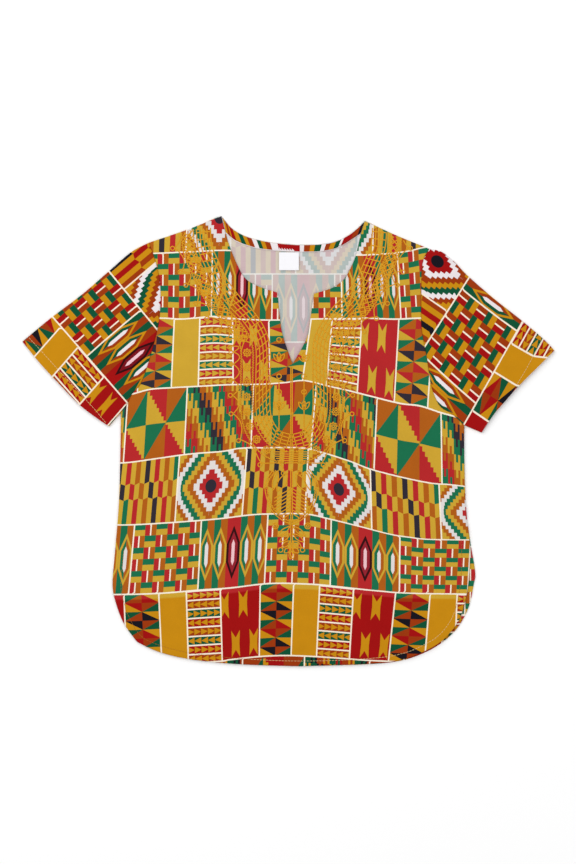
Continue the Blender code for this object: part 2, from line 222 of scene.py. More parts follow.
# Where the front's blocks meet: for each row the first meeting's number, counted in blocks from the
# repeat at the middle left, then the x of each on the line above the row and on the line below it.
ROW_MEETINGS = [
    (-1, ((-166, -166), (-95.5, -98.5), (-35, -35), (22.5, 22.5), (81.5, 81), (142.5, 140.5))),
    (-1, ((-136, -136.5), (-73, -74), (-15, -16), (50.5, 51.5), (104.5, 108), (164.5, 169.5))),
    (0, ((-142, -145), (-109.5, -112.5), (-85, -86.5), (-53.5, -53), (-19, -17.5), (22, 13.5),
         (42, 36.5), (70.5, 66), (106, 101.5), (139.5, 133.5), (163, 159))),
    (-1, ((-217.5, -219.5), (-154, -158.5), (-97, -100), (-33.5, -36), (27, 21.5), (85, 82),
          (146.5, 147.5), (208, 209))),
    (-1, ((-163.5, -170), (-104.5, -109), (-39.5, -44.5), (19, 16), (78.5, 80), (144.5, 147),
          (209, 212))),
    (-2, ((-212.5, -217.5), (-147.5, -153.5), (-83.5, -87), (-19.5, -23), (41, 40), (107, 106.5),
          (175, 172), (238.5, 236))),
    (-1, ((-194.5, -192.5), (-158, -155), (-124.5, -121.5), (-98, -96), (-65.5, -63.5), (-27, -28),
          (5, 2.5), (30, 27), (62.5, 58.5), (103, 96), (136, 130.5), (162, 159.5), (193.5, 190.5))),
    (1, ((-108, -109), (-44, -45), (15.5, 14), (78, 77), (138, 137))),
]
BACK_MEETING = (-15.5, 160.5)  # on the back: the upper corner where basket weave meets hexagons
BACK_ROW = 65.5  # height of the back's rows
# On a sleeve the rows lie between straight lines: each has its two ends, in millimetres, and how many
# repeats have come at even places along it, in the row above it and in the row below it.
SLEEVE_LINES = {
    "left": [
        ((-74, 152), (-119.5, 207), (0.365, -0.165), (0.365, -0.165)),
        ((-126.5, 107.5), (-172, 162.5), (0.365, -0.165), (0.38, -0.165)),
        ((-154.5, 36.5), (-218.5, 110), (0.65, -0.09), (0.67, 0.385, 0.175, -0.07)),
        ((-200, -16), (-264.5, 57.5), (0.67, 0.385, 0.175, -0.07), (0.67, -0.07)),
    ],
    "right": [
        ((112, 187), (66, 120), (1.2, 0.6), (1.2, 0.6)),
        ((166.5, 146), (127, 84.5), (1.19, 0.65), (1.2, 0.68)),
        ((219.5, 105.5), (180, 36), (1.2, 0.68), (1.21, 0.715)),
        ((271.5, 61.5), (234, -8.5), (1.125, 0.67), (1.125, 0.67)),
    ],
}
SLEEVE_ROW_SHIFT = 8  # whole repeats of the rows: the sleeves are as deep in colour as the hem, without the painted sheen
CUFF_TWIST = {"left": 0.0, "right": 0.41}  # how far the print slides along the hem past its stitches


# ---- curves and patches

def bend(a, b, c, d, t):
    """A Catmull-Rom curve between b and c."""
    return 0.5 * (2 * b + (c - a) * t + (2 * a - 5 * b + 4 * c - d) * t * t
                  + (3 * b - a - 3 * c + d) * t ** 3)


def smooth(points, steps_each=12):
    """Points of a smooth curve through a table's points, in metres."""
    points = [(x * MM, y * MM) for x, y in points]
    ends = [points[0]] + points + [points[-1]]
    path = []
    for near in zip(ends, ends[1:], ends[2:], ends[3:]):
        for step in range(steps_each):
            path.append(tuple(bend(*axis, step / steps_each) for axis in zip(*near)))
    return path + [points[-1]]


def apart(p, q):
    """Distance between two points seen from above."""
    return hypot(p[0] - q[0], p[1] - q[1])


def between(p, q, t):
    """The point a share of the way from p to q, seen from above."""
    return p[0] + (q[0] - p[0]) * t, p[1] + (q[1] - p[1]) * t


def reaches(points):
    """The distance along the run to each of its points."""
    reach = [0.0]
    for a, b in zip(points, points[1:]):
        reach.append(reach[-1] + apart(a, b))
    return reach


def placed(path, places):
    """Points at the given fractions of the length of a path."""
    reach = reaches(path)
    result, leg = [], 0
    for place in places:
        want = reach[-1] * place
        while leg < len(path) - 2 and reach[leg + 1] < want:
            leg += 1
        t = (want - reach[leg]) / (reach[leg + 1] - reach[leg])
        result.append(between(path[leg], path[leg + 1], t))
    return result


def shares(count):
    """Fractions from 0 to 1 at even steps."""
    return [k / count for k in range(count + 1)]


def graded(count, start=(), end=()):
    """Fractions from 0 to 1 at even steps, with finer ones near the start and the end."""
    return sorted({*shares(count), *start, *(1 - e for e in end)})


def joined(stretches, places):
    """One run of points along stretches that follow each other."""
    run = []
    for points, each in zip(stretches, places):
        run += placed(smooth(points), each)[1 if run else 0:]
    return run


def bow(run, i, u, k):
    """How far point i of a run, a share u along, lies beside the straight line between its ends."""
    return run[i][k] - (run[0][k] * (1 - u) + run[-1][k] * u)


def patch(first, last, start, end, across):
    """Rows of points from the run first to the run last, bounded by start and end."""
    rows = []
    reach = reaches(first)
    for inner, outer, distance in zip(first, last, reach):
        w = distance / reach[-1]
        rows.append([tuple(inner[k] * (1 - u) + outer[k] * u
                           + bow(start, i, u, k) * (1 - w) + bow(end, i, u, k) * w for k in (0, 1))
                     for i, u in enumerate(across)])
    return rows


def beside(path, distance):
    """The path moved to the left of its direction, by one distance or by one for each point."""
    each = distance if isinstance(distance, list) else [distance] * len(path)
    moved = []
    for k, (x, y, *_) in enumerate(path):
        before, after = path[max(k - 1, 0)], path[min(k + 1, len(path) - 1)]
        length = apart(before, after)
        moved.append((x - (after[1] - before[1]) / length * each[k],
                      y + (after[0] - before[0]) / length * each[k]))
    return moved


def evenly(path, step):
    """Points along a path at even steps of about the given length."""
    count = max(1, round(reaches(path)[-1] / step))
    return placed(path, shares(count))


def closeness(path):
    """A function that gives a point's distance from a path."""
    points = evenly(path, NEAR_STEP)
    tree = KDTree(len(points))
    for k, (x, y) in enumerate(points):
        tree.insert((x, y, 0), k)
    tree.balance()
    return lambda x, y: tree.find((x, y, 0))[2]


def hem_seam():
    """The line of the front's hem stitches."""
    edge = smooth(FRONT_EDGE)
    side, middle = HEM_SEAM
    return beside(edge, [middle + (side - middle) * abs(2 * t - 1) for t in shares(len(edge) - 1)])


# ---- heights

def swell(distance, reach):
    """0 at an edge, rising to 1 over the given reach."""
    return 1 - exp(-distance / reach)


def near_edge(distance, reach):
    """1 at an edge, falling softly to 0 over the given reach."""
    return exp(-(distance / reach) ** 2)


def fold_height(x, y, folds):
    """Height of the soft folds at a point."""
    height = 0.0
    for start, end, width, top in folds:
        x0, y0 = start[0] * MM, start[1] * MM
        dx, dy = (end[0] - start[0]) * MM, (end[1] - start[1]) * MM
        length = hypot(dx, dy)
        along = ((x - x0) * dx + (y - y0) * dy) / length ** 2
        across = ((x - x0) * dy - (y - y0) * dx) / length
        if 0 < along < 1:
            height += top * sin(pi * along) ** 2 * near_edge(across, width)
    return height


def front_top(x, y, u, w):
    """Outer face of the front solid; u runs from the centre to the side, w from neck to hem."""
    side, shoulder, hem = FRONT_REACH
    edge = swell(1 - u, side) * swell(w, shoulder) * swell(1 - w, hem)
    neck = exp(-u / NECK_REACH) * exp(-max(0, w - SLIT_END) / SLIT_FADE)
    return EDGE_TOP + edge * (LOFT - NECK_DROP * neck + fold_height(x, y, FRONT_FOLDS))


def sleeve_top(x, y, side, a, s):
    """Outer face of a sleeve's upper layer; a runs from fold to underarm, s from seam to cuff."""
    long_edge, armhole, cuff, fold_end = SLEEVE_REACH
    loft = SLEEVE_LOFT * swell(s, armhole) * swell(1 - s, cuff) + CUFF_MOUTH * s ** 4
    folds = fold_height(x, y, SLEEVE_FOLDS[side]) * swell(s, armhole) * swell(1 - s, fold_end)
    return EDGE_TOP + swell(a, long_edge) * swell(1 - a, long_edge) * (loft + folds)


def rolled(distance, roll):
    """How far a rounded edge falls away at a distance from it."""
    radius, fall = roll
    t = max(0.0, 1 - distance / radius)
    return fall * (1 - sqrt(1 - t * t))


# ---- the print on the cloth

def sampled(values, place):
    """A smooth curve through evenly spaced values, straight beyond its ends."""
    last = len(values) - 1
    if place <= 0:
        return values[0] + (values[1] - values[0]) * place
    if place >= last:
        return values[-1] + (values[-1] - values[-2]) * (place - last)
    i = int(place)
    ends = (2 * values[0] - values[1], *values, 2 * values[-1] - values[-2])
    return bend(*ends[i:i + 4], place - i)


def leg_at(places, x):
    """The number of the second of the two neighbours in a rising list that x lies between or nearest."""
    return min(max(bisect(places, x), 1), len(places) - 1)


def height_on(path, x):
    """Height at x of a path that runs to the right, straight beyond its ends."""
    k = leg_at(path, (x,))
    (x0, y0), (x1, y1) = path[k - 1], path[k]
    return y0 + (y1 - y0) * (x - x0) / (x1 - x0)


def meeting_place(kind, number):
    """How many repeats across a row of this kind its blocks meet for the numbered time."""
    widths = ROW_BLOCKS[kind]
    whole, part = divmod(number, len(widths))
    return whole + (ROW_STARTS[kind] + sum(widths[:part])) / REPEAT


def row_print(row, down, x):
    """How many repeats across a point of the front lies, a share of the way down its row."""
    first, meetings = ROW_MEETINGS[row]
    places = [above + (below - above) * min(max(down, 0), 1) for above, below in meetings]
    k = leg_at(places, x / MM)
    start, end = (meeting_place(row % len(ROW_BLOCKS), first + n) for n in (k - 1, k))
    return start + (end - start) * (x / MM - places[k - 1]) / (places[k] - places[k - 1])


def front_print(x, y, paths=tuple(smooth(line) for line in ROW_LINES)):
    """Where a point of the front lies in the print: repeats across, rows down."""
    heights = [height_on(path, x) for path in paths]
    row = 0
    while row < len(heights) - 2 and y < heights[row + 1]:
        row += 1
    down = (heights[row] - y) / (heights[row] - heights[row + 1])
    return row_print(row, down, x), row + 1 + down


def back_print(x, y):
    """Where a point of the back lies in the print; its wrong side faces up, so it is mirrored."""
    across = meeting_place(1, 1) - (x / MM - BACK_MEETING[0]) / REPEAT
    return across, 2 - (y / MM - BACK_MEETING[1]) / BACK_ROW


def past_line(line, x, y):
    """How far a point lies past a line of the print, and its place along it from 0 to 1."""
    (x0, y0), (x1, y1) = line[:2]
    dx, dy = x1 - x0, y1 - y0
    x, y = x / MM - x0, y / MM - y0
    return (y * dx - x * dy) / hypot(dx, dy), (x * dx + y * dy) / (dx * dx + dy * dy)


def untwisted(side, x, y):
    """The point of a sleeve's straight print that has slid to this place past the cuff's stitches."""
    start, end = CUFF_STITCHES[side][0], CUFF_STITCHES[side][-1]
    length = apart(start, end)
    dx, dy = (end[0] - start[0]) / length, (end[1] - start[1]) / length
    past = max(0.0, (y - start[1] * MM) * dx - (x - start[0] * MM) * dy)
    return x + past * CUFF_TWIST[side] * dx, y + past * CUFF_TWIST[side] * dy


def sleeve_print(side, x, y):
    """Where a point of a sleeve's upper layer lies in the print."""
    lines = SLEEVE_LINES[side]
    places = [past_line(line, *untwisted(side, x, y)) for line in lines]
    k = 0
    while k < len(lines) - 2 and places[k + 1][0] > 0:
        k += 1
    t = places[k][0] / (places[k][0] - places[k + 1][0])
    over, under = lines[k][3], lines[k + 1][2]
    start = sampled(over, places[k][1] * (len(over) - 1))
    end = sampled(under, places[k + 1][1] * (len(under) - 1))
    return start + (end - start) * t, k + 1 + t + SLEEVE_ROW_SHIFT


# ---- meshes

INNER_STRIP = 0.10  # share of the bake map's height that inner faces take
OUTER_LOW = 0.13  # the outer faces' lowest place in it
HALVES = {"left": (0.5, 0.0, OUTER_LOW, 1.0), "right": (0.5, 1.0, OUTER_LOW, 1.0)}
WHOLE = (0.0, 1.0, OUTER_LOW, 1.0)
WELD = 1e-5
SHARP_EDGE = radians(50)


def maps_of(form):
    """A form's places in the print and in the map that bakes use."""
    layers = form.loops.layers.uv
    return [layers.get(name) or layers.new(name) for name in ("Print", "OFBake")]


def add_grid(form, rows, prints, patch_of_map, facing_up):
    """Add a grid of faces with its places in the print and in the map that bakes use."""
    to_print, to_bake = maps_of(form)
    left, right, low, high = patch_of_map
    verts = [[form.verts.new(point) for point in row] for row in rows]
    faces = []
    for j in range(len(rows) - 1):
        for i in range(len(rows[0]) - 1):
            corners = ((j, i), (j + 1, i), (j + 1, i + 1), (j, i + 1))
            face = form.faces.new([verts[b][a] for b, a in corners])
            for loop, (b, a) in zip(face.loops, corners):
                loop[to_print].uv = prints[b][a]
                loop[to_bake].uv = (left + (right - left) * a / (len(rows[0]) - 1),
                                    high - (high - low) * b / (len(rows) - 1))
            faces.append(face)
    form.normal_update()
    if (sum(face.normal.z for face in faces) > 0) != facing_up:
        bmesh.ops.reverse_faces(form, faces=faces)


def finished(name, form):
    """The mesh of a form, which is then used up."""
    mesh = bpy.data.meshes.new(name)
    form.to_mesh(mesh)
    form.free()
    return mesh


def link(name, mesh, finishes):
    """Make an object of a mesh with its finishes."""
    obj = bpy.data.objects.new(name, mesh)
    for finish in finishes:
        mesh.materials.append(finish)
    bpy.context.scene.collection.objects.link(obj)
    return obj


def cloth_piece(name, form, finishes, thickness=CLOTH):
    """Make an object of a welded sheet and give it its thickness, away from its outer face."""
    bmesh.ops.remove_doubles(form, verts=form.verts, dist=WELD)
    obj = link(name, finished(name, form), finishes)
    wall = obj.modifiers.new("wall", "SOLIDIFY")
    wall.thickness = thickness
    wall.offset = -1
    wall.use_even_offset = True
    wall.material_offset = 1
    graph = bpy.context.evaluated_depsgraph_get()
    solid = bpy.data.meshes.new_from_object(obj.evaluated_get(graph))
    obj.modifiers.clear()
    obj.data = solid
    solid.name = name
    squeeze_inner_map(solid)
    solid.shade_smooth()
    solid.set_sharp_from_angle(angle=SHARP_EDGE)
    return obj


def squeeze_inner_map(mesh):
    """Move the inner faces to their own strip of the map that bakes use."""
    places = mesh.uv_layers["OFBake"].data
    for face in mesh.polygons:
        if face.material_index == 1:
            for k in face.loop_indices:
                u, v = places[k].uv
                places[k].uv = (u, v * INNER_STRIP)


def turn_hem(piece, edge):
    """Show the right side of the print on the inner faces near an edge, as on a turned hem."""
    near = closeness(smooth(edge))
    for face in piece.data.polygons:
        if face.material_index == 1 and near(*face.center[:2]) < HEM_DEPTH:
            face.material_index = 0
    return piece


# ---- front, back and sleeves

# Where rows of points lie closer together, as shares of a run from its end.
FINE = (0.0015, 0.004, 0.008, 0.014)
NECK_FINE = (0.004, 0.010, 0.018)
FRONT_HEM_FINE = (0.001, 0.0025, 0.005, 0.030, 0.034)
BACK_HEM_FINE = (0.001, 0.0025, 0.005)
SLEEVE_FINE = (0.002, 0.004, 0.007, 0.012)
CUFF_FINE = (0.002, 0.006, 0.012)
SLEEVE_RADIUS = 0.0012  # of its rounded long edges
# How many columns a piece has, and how many rows each stretch of its edge has.
FRONT_COLUMNS, FRONT_ROWS = 78, (42, 28, 22, 98)
BACK_COLUMNS, BACK_ROWS = 60, (30, 24, 20, 70)
SLEEVE_COLUMNS, SLEEVE_ROWS, ARMHOLE_STEPS = 46, 50, 30
UPPER_STRIP, LOWER_STRIP = (0.0, 1.0, 0.42, 1.0), (0.0, 1.0, OUTER_LOW, 0.40)


def graded_rows(counts, start, end):
    """The places of rows along stretches, finer at the start of the first and the end of the last."""
    last = len(counts) - 1
    return [graded(count, start if k == 0 else (), end if k == last else ())
            for k, count in enumerate(counts)]


def panel(side, neck, flank, hem, places, across):
    """One half of the front or the back: flat rows of points from the middle to the side."""
    inner = joined((*neck, [SLIT_TIP, CHEST_CENTRE], [CHEST_CENTRE, HEM_CENTRE]), places)
    outer = joined((ARMHOLE_UPPER[side], ARMHOLE_MIDDLE[side], ARMHOLE_LOWER[side], flank), places)
    shoulder = placed(smooth(SHOULDER[side]), across)
    return patch(inner, outer, shoulder, placed(smooth(hem), across), across)


def raised(flat, height):
    """Rows of points with their heights; height takes the point, its row and its place in it."""
    return [[(x, y, height(x, y, j, i)) for i, (x, y) in enumerate(row)]
            for j, row in enumerate(flat)]


def front_points(side):
    """One half of the front: rows of points on its outer face."""
    across = graded(FRONT_COLUMNS, FINE, FINE)
    places = graded_rows(FRONT_ROWS, NECK_FINE, FRONT_HEM_FINE)
    flat = panel(side, (NECKLINE[side], SLIT[side]), SIDE_AND_HEM[side], HEM[side], places, across)
    open_rows = len(places[0]) + len(places[1]) - 2
    armhole_rows = open_rows + len(places[2]) - 1
    down = reaches([row[-1] for row in flat])
    seam = closeness(hem_seam())

    def height(x, y, j, i):
        z = front_top(x, y, across[i], down[j] / down[-1])
        z -= rolled(apart((x, y), flat[j][-1]), ARMHOLE_ROLL if j < armhole_rows else SEAM_ROLL)
        z -= rolled(apart((x, y), flat[0][i]), SEAM_ROLL)
        z -= rolled(apart((x, y), flat[-1][i]), HEM_ROLL)
        z -= GROOVE[0] * near_edge(seam(x, y), GROOVE[1])
        if j < open_rows:
            gap = apart((x, y), flat[j][0])
            z -= rolled(gap, NECK_ROLL) + NECK_SETTLE[0] * near_edge(gap, NECK_SETTLE[1])
        return max(z, FRONT_LOWEST)

    return raised(flat, height)


def back_points(side):
    """One half of the back: rows of points on its outer face, which lies on the floor."""
    across = graded(BACK_COLUMNS, end=FINE)
    places = graded_rows(BACK_ROWS, NECK_FINE, BACK_HEM_FINE)
    neck = (BACK_NECK[side], [BACK_NECK_CENTRE, SLIT_TIP])
    flat = panel(side, neck, BACK_SIDE_AND_HEM[side], BACK_HEM[side], places, across)
    neck_end = len(places[0]) - 1

    def height(x, y, j, i):
        z = rolled(apart((x, y), flat[j][-1]), BACK_ROLL) + rolled(apart((x, y), flat[0][i]), BACK_ROLL)
        gap = apart((x, y), flat[min(j, neck_end)][0])
        return z + BACK_NECK_LIFT[0] * near_edge(gap, BACK_NECK_LIFT[1])

    return raised(flat, height)


def make_panel(name, points, to_print, edge, finishes, facing_up):
    """The front or the back: both halves as one sheet."""
    form = bmesh.new()
    for side, strip in HALVES.items():
        rows = points(side)
        prints = [[to_print(x, y) for x, y, _ in row] for row in rows]
        add_grid(form, rows, prints, strip, facing_up)
    return turn_hem(cloth_piece(name, form, finishes), edge)


def sleeve_points(side):
    """A sleeve's upper and lower layers: rows of points from fold to underarm, seam to cuff."""
    across = graded(SLEEVE_COLUMNS, SLEEVE_FINE, SLEEVE_FINE)
    along = graded(SLEEVE_ROWS, CUFF_FINE, CUFF_FINE)
    armhole = (ARMHOLE_UPPER[side], ARMHOLE_MIDDLE[side], ARMHOLE_LOWER[side])
    seam = placed(joined(armhole, [shares(ARMHOLE_STEPS)] * 3), across)
    fold, under = (placed(smooth(edge[side]), along) for edge in (SLEEVE_FOLD, UNDERARM))
    flat = patch(fold, under, seam, placed(smooth(CUFF[side]), across), across)
    reach = reaches(fold)
    stitched = closeness(smooth(CUFF_STITCHES[side]))
    middle = EDGE_TOP / 2

    def rounding(x, y, j):
        """0 at the fold and the underarm, rising to 1 as a quarter of a circle."""
        edge = min(apart((x, y), flat[j][0]), apart((x, y), flat[j][-1]))
        return 1 - rolled(edge, (SLEEVE_RADIUS, 1))

    def upper(x, y, j, i):
        top = sleeve_top(x, y, side, across[i], reach[j] / reach[-1])
        top -= rolled(apart((x, y), seam[i]), ARMHOLE_ROLL)
        top -= GROOVE[0] * near_edge(stitched(x, y), GROOVE[1])
        return middle + (top - middle) * rounding(x, y, j)

    return raised(flat, upper), raised(flat, lambda x, y, j, i: middle * (1 - rounding(x, y, j)))


def make_sleeve(side, finishes):
    """A sleeve: a tube pressed flat, open at the armhole and the cuff."""
    upper, lower = sleeve_points(side)
    over = [[sleeve_print(side, x, y) for x, y, _ in row] for row in upper]
    under = [[(2 * row[0][0] - h, r) for h, r in row] for row in over]
    form = bmesh.new()
    add_grid(form, upper, over, UPPER_STRIP, facing_up=True)
    add_grid(form, lower, under, LOWER_STRIP, facing_up=False)
    return turn_hem(cloth_piece("shirt_sleeve_" + side, form, finishes), CUFF[side])


# ---- binding and size label

BAND_BASE, BAND_RISE = 0.0016, 0.0006  # its edges' height, and how much higher its middle is
BAND_ROWS, BAND_COLUMNS, BAND_FINE = 150, 10, (0.03,)
LABEL_TOP = 0.0023
LABEL_THICKNESS = 0.0007
LABEL_ROLL = (0.0006, 0.0004)
LABEL_STEPS, LABEL_FINE = 16, (0.005, 0.012, 0.025)


def make_strip(name, rows, prints, finish, thickness=CLOTH):
    """A narrow piece of one finish, made of one grid."""
    form = bmesh.new()
    add_grid(form, rows, prints, WHOLE, facing_up=True)
    return cloth_piece(name, form, [finish, finish], thickness)


def make_band(finish):
    """The binding inside the back neck."""
    places = shares(BAND_ROWS)
    across = graded(BAND_COLUMNS, BAND_FINE, BAND_FINE)
    edges = zip(placed(smooth(BAND_UPPER), places), placed(smooth(BAND_LOWER), places))
    rows = [[(*between(one, two, c), BAND_BASE + BAND_RISE * (1 - (2 * c - 1) ** 6)) for c in across]
            for one, two in edges]
    return make_strip("neck_binding", rows, [[(place, c) for c in across] for place in places], finish)


def make_label(finish):
    """The size label: a small woven tag, folded at its lower end, and bare."""
    width, length = (s * MM for s in LABEL_SIZE)
    x0, y0 = LABEL_CENTRE[0] * MM - width / 2, LABEL_CENTRE[1] * MM + length / 2
    across, down = graded(LABEL_STEPS), graded(LABEL_STEPS, end=LABEL_FINE)
    rows = [[(x0 + width * c, y0 - length * d, LABEL_TOP - rolled(length * (1 - d), LABEL_ROLL))
             for c in across] for d in down]
    return make_strip("size_tag", rows, [[(c, d) for c in across] for d in down], finish,
                      LABEL_THICKNESS)


# ---- threads

DOWN = Vector((0, 0, -1))
ABOVE = 0.05  # well above the shirt
THREAD_SECTION = ((-1, 0), (-0.6, 1), (0.6, 1), (1, 0))
THREAD_SINK = 0.00008  # how deep a thread's foot lies in the cloth
THREAD_EDGE = 0.0014  # threads end this far inside the cloth's edge
LAID_STEP = 0.0013  # between a thread's points
BAKE_SCALE = 2  # widths of the map that bakes use, in a metre of threads
STITCH = 0.0023  # length of one hem stitch
STITCH_GAP = 0.0007
STITCH_HALF_WIDTH = 0.00024
STITCH_RISE = 0.00024
BINDING_SEAM = 0.0013  # from the binding's lower edge to its stitches


def top_of(piece):
    """A function that gives the height of a piece's top at a point, or None beside the piece."""
    mesh = piece.data
    tree = BVHTree.FromPolygons([v.co for v in mesh.vertices], [f.vertices[:] for f in mesh.polygons])

    def height(x, y):
        hit = tree.ray_cast(Vector((x, y, ABOVE)), DOWN)[0]
        return None if hit is None else hit.z

    return height


def dense(line):
    """A line with points added so that none of its pieces is longer than LAID_STEP."""
    points = [line[0]]
    for a, b in zip(line, line[1:]):
        count = max(1, ceil(apart(a, b) / LAID_STEP))
        points += [between(a, b, n / count) for n in range(1, count + 1)]
    return points


def laid(line, height):
    """The runs of a line that lie on the cloth, each with its heights."""
    runs = [[]]
    for x, y in dense(line):
        near = [height(x + dx * THREAD_EDGE, y + dy * THREAD_EDGE)
                for dx, dy in ((1, 0), (-1, 0), (0, 1), (0, -1))]
        if None in near:
            runs.append([])
        else:
            runs[-1].append((x, y, height(x, y)))
    return [run for run in runs if len(run) > 1]


def add_thread(form, run, half_width, rise):
    """A closed thread with a half-round section along a run of points."""
    to_print, to_bake = maps_of(form)
    reach = reaches(run)
    section = [(a * half_width, rise * b - THREAD_SINK) for a, b in THREAD_SECTION]
    sides = [beside(run, a) for a, _ in section]
    rings = [[form.verts.new((*side[k], z + lift)) for side, (_, lift) in zip(sides, section)]
             for k, (_, _, z) in enumerate(run)]
    for k, (one, two) in enumerate(zip(rings, rings[1:])):
        for n in range(4):
            m = (n + 1) % 4
            face = form.faces.new((one[n], two[n], two[m], one[m]))
            for loop, (along, across) in zip(face.loops, ((k, n), (k + 1, n), (k + 1, m), (k, m))):
                loop[to_print].uv = (reach[along] / MM, across / 3)
    form.faces.new(rings[0])
    form.faces.new(rings[-1][::-1])
    for ring in rings:
        for vert in ring:
            for loop in vert.link_loops:
                loop[to_bake].uv = (0.5 + vert.co.x * BAKE_SCALE, 0.5 + vert.co.y * BAKE_SCALE)


def thread_piece(name, form, finish):
    """Make an object of threads."""
    mesh = finished(name, form)
    mesh.shade_smooth()
    return link(name, mesh, [finish])


def make_stitches(name, path, height, finish):
    """A line of short stitches along a path."""
    form = bmesh.new()
    points = evenly(path, STITCH + STITCH_GAP)
    for a, b in zip(points, points[1:]):
        for run in laid([a, between(a, b, STITCH / (STITCH + STITCH_GAP))], height):
            for end in (0, -1):
                x, y, z = run[end]
                run[end] = (x, y, z - STITCH_RISE / 2)
            add_thread(form, run, STITCH_HALF_WIDTH, STITCH_RISE)
    return thread_piece(name, form, finish)


# ---- the embroidered yoke
# Lines are drawn on one side as (away from the middle, y), in metres, and mirrored.

YOKE_MIDDLE = 0.003
THREAD_HALF_WIDTH = 0.00060
THREAD_RISE = 0.00034
SPINE = [(84.7, 204), (82.8, 185.3), (76, 169), (68.4, 152.6), (56.8, 136.3), (43.4, 121.9),
         (32.8, 106.6), (27.4, 89.3), (27.4, 60), (27.4, 31.7), (24.2, 16.3), (14.6, 3.8), (0, -1)]
SPINE_STEP = 0.0015
LADDER = (-0.0068, -0.0034, 0.0, 0.0034, 0.0068)
RUNGS = 0.0070
SPAN_ROWS = (0.0098, 0.0212)  # zigzag lines on both sides of the flowers
TIGHT_ZIGZAG = (0.0011, 0.0012)  # width and pitch
WIDE_ZIGZAG = (0.0024, 0.0027)
FLOWER_ROW, FLOWER_PITCH = 0.0155, 0.0145
FLOWER_STOP = 0.020  # no flowers nearer to the middle
FLOWER = (0.0032, 0.0008, 8)  # its radius, how deep its petals are, and how many
FLOWER_HEART = 0.0013
SCALLOPS = (0.0288, 0.0228, 0.0145)  # their cusps, their middles and their pitch
SCALLOP_STEPS = 10
SCALLOP_RING = (0.0019, 0.0022)  # its radius, and how far its centre lies past the cusp
NET_END = 0.46  # share of the spine that has a net in place of flowers
NET_PITCH = 0.0054
NET_ZIGZAGS = (0.0128, 0.0183)  # wide zigzag lines in the net
STEMS = 0.012  # from the middle to the small stems between the bands
CHEVRONS, CHEVRON_PITCH = 8, 0.0034


def centred(path, pitch):
    """Points in the middle of even steps along a path."""
    count = round(reaches(path)[-1] / pitch)
    return placed(path, [(k + 0.5) / count for k in range(count)])


def ladder(spine):
    """Lines beside each other with rungs across them."""
    rails = [beside(spine, offset) for offset in LADDER]
    count = round(reaches(spine)[-1] / RUNGS)
    places = [(k + 0.5) / count for k in range(count)]
    return rails + [list(pair) for pair in zip(placed(rails[0], places), placed(rails[-1], places))]


def zigzag(path, width, pitch):
    """One line that swings from side to side along a path."""
    places = shares(round(reaches(path)[-1] / pitch))
    sides = (placed(beside(path, width / 2), places), placed(beside(path, -width / 2), places))
    return [sides[k % 2][k] for k in range(len(places))]


def ring(centre, radius, wave=0.0, petals=0):
    """A circle, or a round flower whose edge goes in and out."""
    line = []
    for place in shares(max(14, petals * 6)):
        angle = 2 * pi * place
        r = radius + wave * cos(petals * angle)
        line.append((centre[0] + r * cos(angle), centre[1] + r * sin(angle)))
    return line


def leaf(root, angle, length, width):
    """A pointed oval that grows from its root."""
    turn = radians(angle)
    line = []
    for place in shares(24):
        along = 0.5 - 0.5 * cos(2 * pi * place)
        across = width / 2 * sin(2 * pi * place) * sin(pi * along) ** 0.5
        line.append((root[0] + length * along * cos(turn) - across * sin(turn),
                     root[1] + length * along * sin(turn) + across * cos(turn)))
    return line


def scallops(spine):
    """Arcs side by side along the outside, with a small ring at each cusp."""
    cusp, middle, pitch = SCALLOPS
    base = placed(spine, shares(round(reaches(spine)[-1] / pitch) * SCALLOP_STEPS))
    swing = [cusp + (middle - cusp) * sin(pi * (k % SCALLOP_STEPS) / SCALLOP_STEPS)
             for k in range(len(base))]
    radius, centre = SCALLOP_RING
    centres = beside(base, cusp + centre)[SCALLOP_STEPS::SCALLOP_STEPS]
    return [beside(base, swing)] + [ring(point, radius) for point in centres]


def net(spine):
    """Crossing slanted lines between two rows beside the spine."""
    count = round(reaches(spine)[-1] * NET_END / NET_PITCH)
    places = [k * NET_END / count for k in range(count + 3)]
    inner, outer = (placed(beside(spine, row), places) for row in SPAN_ROWS)
    return [list(ends) for ends in (*zip(inner, outer[2:]), *zip(inner[2:], outer))]


def yoke_lines():
    """The bands beside the neck and the slit, which meet below the slit."""
    spine = evenly(smooth(SPINE), SPINE_STEP)
    lines = ladder(spine)
    lines += [zigzag(beside(spine, row), *TIGHT_ZIGZAG) for row in SPAN_ROWS]
    lines += scallops(spine) + net(spine)
    netted = round(len(spine) * NET_END)
    lines += [zigzag(beside(spine, row)[:netted], *WIDE_ZIGZAG) for row in NET_ZIGZAGS]
    flowers = centred(beside(spine, FLOWER_ROW), FLOWER_PITCH)
    for point in flowers[int(len(flowers) * NET_END):]:
        if point[0] > FLOWER_STOP:
            lines += [ring(point, *FLOWER), ring(point, FLOWER_HEART)]
    return lines


def middle_lines():
    """The small motifs between the bands."""
    lines = [[(0.0007, 0.071), (0.0007, -0.008)], [(STEMS, 0.058), (STEMS, 0.009)]]
    lines += [ring((STEMS, y), 0.0022) for y in (0.097, 0.062, 0.047, 0.008)]
    lines += [leaf((STEMS, y), angle, 0.009, 0.0036) for y in (0.076, 0.030) for angle in (55, 90, 125)]
    for row in range(6):
        y = -0.0105 - row * 0.0021
        lines.append([(0.0, y), (0.0175 - row * 0.0008, y)])
    return lines


